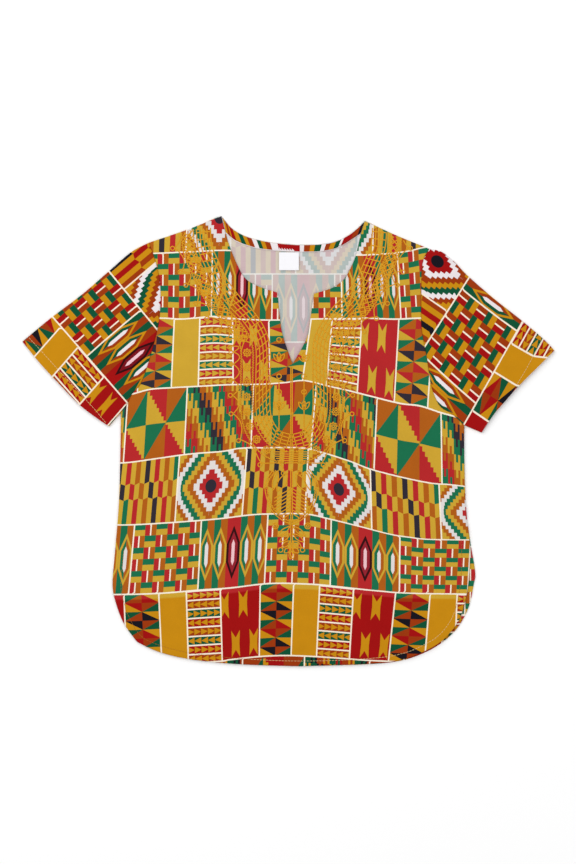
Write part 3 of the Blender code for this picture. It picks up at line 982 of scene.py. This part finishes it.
def pendant_lines():
    """The pendant under the bands: a bell, a feather and a leafy stem."""
    bell = smooth([(17, -27), (25, -40), (24, -54), (18.5, -67), (9, -76), (0, -80)])
    lines = [bell, zigzag(beside(bell, -0.0022), *TIGHT_ZIGZAG), [(0.0008, -0.027), (0.0008, -0.106)]]
    lines += [leaf((0.004, -0.031), -60, 0.020, 0.0075), leaf((0.013, -0.029), -75, 0.019, 0.0050)]
    for k in range(CHEVRONS):
        y = -0.046 - k * CHEVRON_PITCH
        reach = 0.0165 - max(0, k - 4) * 0.0030
        lines.append([(0.0012, y), (reach, y - reach * 0.55)])
    for y, length in ((-0.082, 0.015), (-0.089, 0.013), (-0.096, 0.010), (-0.103, 0.007)):
        lines.append(leaf((0.0015, y), -38, length, 0.0042))
    lines += [ring((0.0155, -0.0815), 0.0028), ring((0.0155, -0.0815), 0.0012)]
    lines += [ring((0.0105, -0.1045), 0.0022), leaf((0.0, -0.105), -80, 0.0085, 0.0034)]
    return lines


def make_embroidery(height, finish):
    """All the yoke's threads as one piece."""
    form = bmesh.new()
    for line in yoke_lines() + middle_lines() + pendant_lines():
        for side in (-1, 1):
            for run in laid([(YOKE_MIDDLE + side * x, y) for x, y in line], height):
                add_thread(form, run, THREAD_HALF_WIDTH, THREAD_RISE)
    return thread_piece("yoke_embroidery", form, finish)


# ---- shader arithmetic

def feed(target, value):
    """Give a node's input a Value, another node's output, or a plain number or colour."""
    if isinstance(value, Value):
        value = value.socket
    if isinstance(value, bpy.types.NodeSocket):
        target.id_data.links.new(value, target)
    else:
        target.default_value = (*value, 1) if isinstance(value, tuple) else value


def add_node(tree, kind, inputs=(), **settings):
    """A shader node with its settings and its inputs, which are pairs of a name and a value."""
    node = tree.nodes.new("ShaderNode" + kind)
    for name, value in settings.items():
        setattr(node, name, value)
    for name, value in inputs:
        feed(node.inputs[name], value)
    return node


def stepped_ramp(tree, place, stops, label=""):
    """A colour ramp without blending; stops are (start, colour)."""
    node = add_node(tree, "ValToRGB", [(0, place)], label=label)
    ramp = node.color_ramp
    ramp.interpolation = "CONSTANT"
    ramp.elements.remove(ramp.elements[1])
    for n, (start, colour) in enumerate(stops):
        stop = ramp.elements[0] if n == 0 else ramp.elements.new(start)
        stop.position = start
        stop.color = colour
    return node


class Value:
    """A number that shader nodes work out; arithmetic on it adds Math nodes."""

    def __init__(self, socket):
        self.socket = socket
        self.tree = socket.id_data

    def math(self, operation, *others):
        """The outcome of a Math node on this value and others."""
        node = add_node(self.tree, "Math", enumerate((self, *others)), operation=operation)
        return Value(node.outputs[0])

    __add__ = partialmethod(math, "ADD")
    __sub__ = partialmethod(math, "SUBTRACT")
    __mul__ = partialmethod(math, "MULTIPLY")
    whole = partialmethod(math, "FLOOR")
    rest = partialmethod(math, "FRACT")  # what is left above the whole number
    size = partialmethod(math, "ABSOLUTE")
    least = partialmethod(math, "MINIMUM")
    most = partialmethod(math, "MAXIMUM")
    below = partialmethod(math, "LESS_THAN")
    above = partialmethod(math, "GREATER_THAN")

    def pick(self, yes, no):
        """Yes where this is 1, no where it is 0."""
        return Value(add_node(self.tree, "Mix", ((0, self), (2, no), (3, yes))).outputs[0])

    def banded(self, top, bands):
        """The value of the band that this falls in, from 0 to top; bands are (start, value)."""
        stops = [(start / top, (value,) * 4) for start, value in bands]
        return Value(stepped_ramp(self.tree, self * (1 / top), stops).outputs["Alpha"])

    def listed(self, values):
        """The value in a list at this whole number."""
        return (self + 0.5).banded(len(values), list(enumerate(values)))


# ---- the motifs
# Each takes Values u, across its block, and v, down it, from 0 to 1, and gives an ink.

GOLD, RED, GREEN, BROWN, WHITE, BLACK, MAROON, BLUSH, CRIMSON, CREAM = (n / 16 for n in range(10))
HALF_INK = 1 / 32


def from_middle(place):
    """0 in the middle of a block and 1 at its ends."""
    return (place * 2 - 1).size()


def is_odd(number):
    """1 where a whole number is odd."""
    return (number * 0.5).rest().above(0.25)


def stepped_diamond(u, v):
    """Nested stepped diamonds round a black spot."""
    steps, step_width = 7.8, 0.085
    across, down = from_middle(u), from_middle(v)
    step = (down * steps + 0.18).whole()
    bulge = ((across - 0.82).most(0) * 1.9).least(0.15) * (step * (-1 / 3) + 1).most(0)
    rings = (across + step * step_width + bulge).banded(1.7, (
        (0, RED), (0.335, WHITE), (0.505, BROWN), (0.69, GOLD), (0.855, GREEN), (1.045, WHITE),
        (1.2, BROWN), (1.36, GOLD)))
    spot = (across * across * 38 + down * down * 26).below(1)
    return spot.pick(BLACK, rings)


def stripes(u, v):
    """Upright stripes in three bands, each shifted against the one above, with zigzag ends."""
    place = v - (from_middle((u * 6.5).rest()) * 2 - 1) * 0.015
    stripe = (u * 13).whole()
    upper = (stripe + 1 - place.above(0.355)).listed((
        GOLD, BLACK, GOLD, RED, GOLD, BROWN, GOLD, BLACK, GOLD, RED, GOLD, BROWN, GOLD, GREEN))
    lower = stripe.listed((
        BROWN, GOLD, GREEN, GOLD, RED, GOLD, BROWN, GOLD, BLACK, GOLD, RED, GOLD, BROWN))
    return place.below(0.60).pick(upper, lower)


def basket(u, v):
    """A basket weave of upright and level splints."""
    x, y = u * 6, v * 6
    level = y.rest().below(0.5).pick(GREEN, GOLD)
    upright = x.rest().banded(1, ((0, RED), (0.44, CREAM), (0.555, BROWN)))
    return is_odd(x.whole() + y.whole()).pick(upright, level)


def hexagons(u, v):
    """Five tall hexagons side by side, the middle one on red."""
    column = (u * 5).whole()
    c = (u * 5).rest() * 2 - 1
    d = c.size() + ((from_middle(v) - 0.25) * (1 / 0.51)).most(0)
    left, right = (d.banded(1.1, ((0, WHITE), (0.25, ink), (0.68, GOLD), (0.985, ink)))
                   for ink in (GREEN, BROWN))
    middle = d.banded(1.1, ((0, BLUSH), (0.23, CRIMSON), (0.66, MAROON), (0.985, RED)))
    return (column - 2).size().below(0.5).pick(middle, c.below(0).pick(left, right))


def small_diamonds(u, v):
    """Four diamonds in a stack, each quartered."""
    x, y = u * 2 - 1, (v * 4).rest() * 2 - 1
    inside = (x.size() + y.size()).below(1)
    same = (x * y).above(0)
    dark = (v * 2).rest().below(0.5).pick(RED, BLACK)
    return same.pick(inside.pick(BROWN, GREEN), inside.pick(dark, GOLD))


def plain_gold(u, v):
    """A plain block."""
    return GOLD


def arrows(u, v):
    """Eight lines of arrowheads, pointing right and left in turn."""
    gap = 0.17
    line, q = (v * 8).whole(), (v * 8).rest()
    ground = line.listed((RED, BROWN, GREEN, RED, BROWN, GREEN, RED, BROWN))
    y = from_middle((q - gap) * (1 / (1 - gap)))
    turn = (line * 0.5).rest() * -4 + 1
    head = (y + (u * turn * 5).rest() * 0.85).below(0.86)
    return q.below(gap).pick(CREAM, head.pick(GOLD, ground))


def fishtails(u, v):
    """Upright bars with notched ends, staggered on red."""
    height, pitch, stagger = 0.545, 0.475, 0.2
    row = (v + 0.0325) * (1 / height)
    lower = row.above(1)
    y = ((row.rest() - 0.5) * height).size()
    x = (((u + 0.1425 + lower * stagger) * (1 / pitch)).rest() - 0.5).size() * pitch
    whole = (u - lower * stagger).below(0.8)
    inside = (y - x * 0.9).below(0.085) * (x - y * 0.08).below(0.098) * whole
    return inside.pick(GOLD, RED)


def big_triangles(u, v):
    """Squares cut corner to corner, smoothly and in steps by turns."""
    column, upper = (u * 3).whole(), v.below(0.5)
    x, y = (u * 3).rest(), (v * 2).rest()
    smooth_cut = is_odd(column + upper)
    stair = ((x * 8).whole() + 0.5) * (1 / 8)
    over = smooth_cut.pick((x + y).below(1), stair.above(y))
    same = (over - upper).size().below(0.5)
    return same.pick(smooth_cut.pick(BROWN, RED), smooth_cut.pick(GREEN, GOLD))


def streaks(u, v):
    """Four bands of short upright streaks that shift by one cell from band to band."""
    top, height, count = 0.1, 0.225, 10.4
    bands, cells = (v - top) * (1 / height), u * count
    cell = cells.whole()
    odd = is_odd(cell)
    lower = bands.rest().above(0.5)
    core = (cells.rest() - 0.5).size().below(0.18) * (odd - lower).size().below(0.5)
    colour = cell - bands.whole() + core * (odd * -2 + 1)
    return ((colour * 0.125).rest() * 8).listed((GOLD, GREEN, BLACK, BROWN, GOLD, GREEN, RED, BROWN))


ROW_MOTIFS = ((stepped_diamond, stripes), (hexagons, basket),
              (small_diamonds, plain_gold, arrows, fishtails), (big_triangles, streaks))
ROW_OFFSETS = [-start / REPEAT % 1 for start in ROW_STARTS]
LINE_ACROSS, LINE_DOWN = 0.0052, 0.0102  # half widths of the pale lines


def row_ink(kind, a, v):
    """The ink of a kind of row, whose motifs lie side by side."""
    ink, end = None, 1
    for width, motif in zip(ROW_BLOCKS[kind][::-1], ROW_MOTIFS[kind][::-1]):
        start = end - width / REPEAT
        own = motif((a - start) * (REPEAT / width), v)
        ink = own if ink is None else a.below(end).pick(own, ink)
        end = start
    return ink


def row_edge(kind, a):
    """How far a place in a kind of row lies from the nearest end of a block."""
    edge = a.least(a * -1 + 1)
    for count in range(1, len(ROW_BLOCKS[kind])):
        edge = edge.least((a - sum(ROW_BLOCKS[kind][:count]) / REPEAT).size())
    return edge


def by_kind(kind, choices):
    """The one of four choices that belongs to this kind of row."""
    chosen = choices[3]
    for number in (2, 1, 0):
        chosen = kind.below(number + 0.5).pick(choices[number], chosen)
    return chosen


def print_ink(h, r):
    """The ink of the whole print at repeats h across and rows r down."""
    kind = ((r * 0.25 - 0.25).rest() * 4).whole()
    a = (h + kind.listed(ROW_OFFSETS)).rest()
    v = r.rest()
    ink = by_kind(kind, [row_ink(k, a, v) for k in range(4)])
    edge = by_kind(kind, [row_edge(k, a) for k in range(4)])
    line = edge.below(LINE_ACROSS).most(v.least(v * -1 + 1).below(LINE_DOWN))
    return line.pick(CREAM, ink)


# ---- materials

# Gold, red, green, brown, white, black, maroon, blush, crimson and cream. The upper rows' inks are
# lighter, hazier copies with painted sheen; the deep inks have none.
SHEEN_LIT_INKS = ((194, 154, 46), (172, 35, 37), (22, 104, 70), (167, 87, 18), (214, 208, 206),
              (44, 38, 48), (48, 8, 12), (228, 186, 190), (140, 30, 42), (236, 226, 208))
DEEP_INKS = ((190, 130, 9), (152, 8, 8), (6, 76, 48), (148, 51, 4), (224, 216, 218),
             (18, 14, 24), (44, 4, 8), (232, 190, 198), (116, 8, 20), (236, 222, 202))
DEEP_ROW = 7.06  # the row of the print where the painted sheen ends and its colours turn deeper
DEEP_BLUR = 0.025
BLEED = 0.004  # how far the inks' edges wander across, in repeats
BLEED_DOWN = 1.7  # how many times as far they wander down, in rows
BLEED_NOISE = (160, 1)  # scale and detail
MOTTLE_NOISE = (60, 3)
FUZZ_NOISE = (900, 2)
MOTTLE = (0.92, 0.16)  # the cotton's least brightness, and how much brighter it gets
WRONG_SIDE = (205, 207, 209)
WRONG_SIDE_SHARE = 0.64  # how much of it covers the print that shows through
COTTON = (0.85, 0.03)  # roughness and sheen
RIBBON = (0.55, 0.05)
THREAD = (0.5, 0.1)
FLOOR = (0.9, 0.0)
COTTON_WEAVE = (0.0006, 0.00006)  # pitch and depth
RIBBON_WEAVE = (0.0004, 0.00004)
RIBBON_WHITE = (0.84, 0.83, 0.86)
FLOOR_WHITE = (0.93, 0.93, 0.93)
STRANDS, STRAND_DEPTH = 1.4, 0.00008  # how many in a millimetre, and their bump
GOLD_THREAD = (219, 154, 25)
PALE_THREAD = (236, 206, 150)
# The hem thread's painted shade: a dull copy of the pale thread.
SHADED_HEM_THREAD = (172, 108, 28)
# The binding's stitches are real, but their dark colour is painted shadow, standing in for the shadow
# along the binding's lower edge.
SHADOW_DARK_THREAD = (70, 50, 44)
LIT_HEM = (-0.040, -0.160)  # the hem's thread has a pale painted highlight to the right of this x, below this y, and dull painted shade elsewhere
LIT_HEM_BLUR = 0.006

# Where each stretch of the binding starts along it, in millimetres from its left end, and its ink.
BINDING_LENGTH = 136
BINDING = (
    (0, GOLD), (3, BROWN), (6.5, GOLD), (8.5, RED), (13, GOLD), (18.5, GREEN), (23, GOLD), (27, BROWN),
    (31.5, WHITE), (36, GREEN), (39.5, GOLD), (43.5, BROWN), (48, WHITE), (54.5, RED), (74, WHITE),
    (78, BROWN), (83, GOLD), (87.5, GREEN), (93, WHITE), (97, BROWN), (101, GOLD), (106, GREEN),
    (111, WHITE), (113.5, RED), (124, BROWN), (132, BLACK))
BINDING_EDGE = 0.93  # share of its width from which its lower edge is white
TEETH = (54.5, 69)  # the red stretch that ends in white teeth
TEETH_PITCH = 2.4
TEETH_TOP, TEETH_DEPTH = 0.55, 0.3  # shares of its width


def linear(colour):
    """A colour of sRGB bytes as linear light."""
    parts = [c / 255 for c in colour]
    return tuple(p / 12.92 if p <= 0.04045 else ((p + 0.055) / 1.055) ** 2.4 for p in parts)


def ink_colours(tree, ink, inks, label):
    """The colours of the inks."""
    stops = [(n / 16, (*linear(colour), 1)) for n, colour in enumerate(inks)]
    return stepped_ramp(tree, ink + HALF_INK, stops, label).outputs["Color"]


def mix_colours(tree, factor, first, second):
    """Two colours mixed by a factor."""
    inputs = ((0, factor), (6, first), (7, second))
    return add_node(tree, "Mix", inputs, data_type="RGBA").outputs[2]


def noise(tree, place, scale, detail):
    """A noise value at a place."""
    inputs = (("Scale", scale), ("Detail", detail), ("Vector", place))
    return Value(add_node(tree, "TexNoise", inputs).outputs["Fac"])


def print_place(tree):
    """The place in the print, or along and across a strip or a thread."""
    return add_node(tree, "UVMap", uv_map="Print").outputs[0]


def object_place(tree):
    """The place on the object, in metres."""
    return add_node(tree, "TexCoord").outputs["Object"]


def parts_of(tree, place):
    """The first two parts of a place, as Values."""
    node = add_node(tree, "SeparateXYZ", [(0, place)])
    return [Value(node.outputs[k]) for k in (0, 1)]


def ramped(value, blur):
    """0 to 1 as a Value goes from 0 to the blur."""
    return (value * (1 / blur)).most(0).least(1)


def make_print_group():
    """A node group that gives the print's colour on the cloth, with painted sheen on the rows above
    DEEP_ROW.
    """
    tree = bpy.data.node_groups.new("kente print", "ShaderNodeTree")
    tree.interface.new_socket("Color", in_out="OUTPUT", socket_type="NodeSocketColor")
    place = print_place(tree)
    h, r = parts_of(tree, place)
    bleed = (noise(tree, place, *BLEED_NOISE) - 0.5) * BLEED
    ink = print_ink(h + bleed, r + bleed * BLEED_DOWN)
    # painted sheen: the upper rows take lighter, hazier copies of the inks
    upper = ink_colours(tree, ink, SHEEN_LIT_INKS, "inks, upper part with painted sheen")
    lower = ink_colours(tree, ink, DEEP_INKS, "inks, deep part")
    out = tree.nodes.new("NodeGroupOutput")
    feed(out.inputs[0], mix_colours(tree, ramped(r - DEEP_ROW, DEEP_BLUR), upper, lower))
    return tree


def new_material(name, roughness, sheen):
    """A material with a plain Principled surface to build on."""
    made = bpy.data.materials.new(name)
    made.use_nodes = True
    surface = made.node_tree.nodes["Principled BSDF"]
    for key, value in (("Roughness", roughness), ("Sheen Weight", sheen), ("Sheen Roughness", 0.4),
                       ("Specular IOR Level", 0.10)):
        feed(surface.inputs[key], value)
    return made, made.node_tree, surface


def add_bump(tree, surface, height, depth):
    """Bump on a surface, from a height that the depth scales."""
    inputs = (("Strength", 1.0), ("Distance", depth), ("Height", height))
    feed(surface.inputs["Normal"], add_node(tree, "Bump", inputs).outputs[0])


def weave_bump(tree, surface, pitch, depth):
    """Threads over and under each other, as bump."""
    place = object_place(tree)
    x, y = (part * (2 * pi / pitch) for part in parts_of(tree, place))
    height = x.math("SINE") * y.math("SINE") * 0.5 + noise(tree, place, *FUZZ_NOISE)
    add_bump(tree, surface, height, depth)


def cotton_material(name, group, pale):
    """Printed cotton: its right side, or the paler wrong side."""
    made, tree, surface = new_material(name, *COTTON)
    colour = add_node(tree, "Group", node_tree=group).outputs[0]
    if pale:
        colour = mix_colours(tree, WRONG_SIDE_SHARE, colour, linear(WRONG_SIDE))
    mottle = noise(tree, object_place(tree), *MOTTLE_NOISE) * MOTTLE[1] + MOTTLE[0]
    shade = add_node(tree, "VectorMath", ((0, colour), ("Scale", mottle)), operation="SCALE")
    feed(surface.inputs["Base Color"], shade.outputs[0])
    weave_bump(tree, surface, *COTTON_WEAVE)
    return made


def binding_material():
    """The binding, cut on the slant from the same print."""
    made, tree, surface = new_material("printed cotton, binding", *COTTON)
    along, across = parts_of(tree, print_place(tree))
    stretch = along * BINDING_LENGTH
    ink = stretch.banded(BINDING_LENGTH, BINDING)
    teeth = (stretch * (1 / TEETH_PITCH)).rest() * TEETH_DEPTH + TEETH_TOP
    ink = (stretch.above(TEETH[0]) * stretch.below(TEETH[1]) * across.above(teeth)).pick(WHITE, ink)
    ink = across.above(BINDING_EDGE).pick(WHITE, ink)
    feed(surface.inputs["Base Color"], ink_colours(tree, ink, DEEP_INKS, "inks"))
    weave_bump(tree, surface, *COTTON_WEAVE)
    return made


def tag_material():
    """The woven label's plain white ribbon."""
    made, tree, surface = new_material("woven tag", *RIBBON)
    feed(surface.inputs["Base Color"], RIBBON_WHITE)
    weave_bump(tree, surface, *RIBBON_WEAVE)
    return made


def thread_material(name, colour):
    """Shiny twisted thread: slanting strands along it, as bump."""
    made, tree, surface = new_material(name, *THREAD)
    feed(surface.inputs["Base Color"], linear(colour))
    along, across = parts_of(tree, print_place(tree))
    strands = (along * STRANDS + across) * (2 * pi)
    add_bump(tree, surface, strands.math("SINE"), STRAND_DEPTH)
    return made


def hem_thread_material():
    """The hem's thread, pale with a painted highlight at the lower right and dull with painted shade
    elsewhere.
    """
    made = thread_material("hem thread, painted highlight and shade", PALE_THREAD)
    tree = made.node_tree
    x, y = parts_of(tree, object_place(tree))
    lit = ramped(x - LIT_HEM[0], LIT_HEM_BLUR) * ramped(y - LIT_HEM[1], -LIT_HEM_BLUR)
    colour = mix_colours(tree, lit, linear(SHADED_HEM_THREAD), linear(PALE_THREAD))
    feed(tree.nodes["Principled BSDF"].inputs["Base Color"], colour)
    return made


# ---- stage

FLOOR_REACH, FLOOR_GAP = 6, 0.0001
LIGHTS = {  # where each stands, its size and its power; both look at the middle of the floor
    "key": ((-0.9, 0.9, 1.5), 2.0, 26),
    "fill": ((1.2, -0.6, 1.6), 1.6, 9),
}
SKY = 0.62
VIEW_CENTRE = (-0.0004, 0.0086)
VIEW_HEIGHT, VIEW_LEVEL = 0.8294, 0.003  # how much the picture's height takes in, and at what level
LENS = 85
SENSOR = 36


def add_floor():
    """A plain pale floor."""
    form = bmesh.new()
    bmesh.ops.create_grid(form, x_segments=1, y_segments=1, size=FLOOR_REACH)
    made, _, surface = new_material("pale floor", *FLOOR)
    feed(surface.inputs["Base Color"], FLOOR_WHITE)
    floor = link("floor", finished("floor", form), [made])
    floor.location.z = -FLOOR_GAP


def add_light(name, place, size, power):
    """A square soft light that looks at the middle of the floor."""
    lamp = bpy.data.lights.new(name, "AREA")
    lamp.size = size
    lamp.energy = power
    obj = bpy.data.objects.new(name, lamp)
    obj.location = place
    obj.rotation_euler = (-Vector(place)).to_track_quat("-Z", "Y").to_euler()
    bpy.context.scene.collection.objects.link(obj)


def add_camera():
    """The camera looks straight down, as in the photograph."""
    data = bpy.data.cameras.new("camera")
    data.lens = LENS
    data.sensor_width = SENSOR
    data.clip_end = 50
    camera = bpy.data.objects.new("camera", data)
    camera.location = (*VIEW_CENTRE, VIEW_HEIGHT * LENS / SENSOR + VIEW_LEVEL)
    bpy.context.scene.collection.objects.link(camera)
    bpy.context.scene.camera = camera


def add_world():
    """Even white light from all round."""
    world = bpy.data.worlds.new("studio")
    world.use_nodes = True
    sky = world.node_tree.nodes["Background"]
    feed(sky.inputs[0], (1, 1, 1))
    feed(sky.inputs[1], SKY)
    bpy.context.scene.world = world


# ---- the scene

def stand_in(piece, slot, *nodes):
    """Put a piece on the shirt's body in place of solids, which it hides; its slot is not used."""
    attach(piece, "root")
    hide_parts(*nodes)


def sew():
    """Make the cloth pieces and say what each stands for."""
    group = make_print_group()
    both = [cotton_material("printed cotton", group, pale=False),
            cotton_material("printed cotton, wrong side", group, pale=True)]
    back = make_panel("shirt_back", back_points, back_print, BACK_EDGE, both, facing_up=False)
    front = make_panel("shirt_front", front_points, front_print, FRONT_EDGE, both, facing_up=True)
    sleeves = {side: make_sleeve(side, both) for side in ("left", "right")}
    band, tag = make_band(binding_material()), make_label(tag_material())
    stand_in(back, "printed_cotton", "back")
    stand_in(front, "printed_cotton", "front")
    for side, sleeve in sleeves.items():
        stand_in(sleeve, "printed_cotton", "sleeve_" + side)
    stand_in(band, "bias_binding", "back_neck_band")
    stand_in(tag, "woven_tag", "size_label")
    return back, front, sleeves, band, tag


def stitch(front, sleeves, band):
    """Make the threads on the front, the binding and the cuffs."""
    gold = thread_material("gold thread", GOLD_THREAD)
    pale = thread_material("pale thread", PALE_THREAD)
    dark = thread_material("dark thread, painted shadow", SHADOW_DARK_THREAD)
    on_front = top_of(front)
    yoke = make_embroidery(on_front, gold)
    hem = make_stitches("hem_stitches", hem_seam(), on_front, hem_thread_material())
    binding_seam = beside(smooth(BAND_LOWER), BINDING_SEAM)
    # dark stitches: painted shadow along the binding's lower edge
    neck = make_stitches("binding_stitches", binding_seam, top_of(band), dark)
    cuffs = {side: make_stitches("cuff_stitches_" + side, smooth(CUFF_STITCHES[side]), top_of(sleeve),
                                 pale) for side, sleeve in sleeves.items()}
    for threads in (yoke, hem, neck, *cuffs.values()):
        stand_in(threads, "embroidery_thread")
    return yoke, hem, neck, cuffs


def dress():
    """Make the shirt: its cloth pieces and its threads."""
    back, front, sleeves, band, tag = sew()
    yoke, hem, neck, cuffs = stitch(front, sleeves, band)


def main():
    """Load the solids, dress them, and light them."""
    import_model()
    add_world()
    add_floor()
    for name, light in LIGHTS.items():
        add_light(name, *light)
    add_camera()
    dress()
    bpy.context.scene.view_settings.view_transform = "Standard"


main()
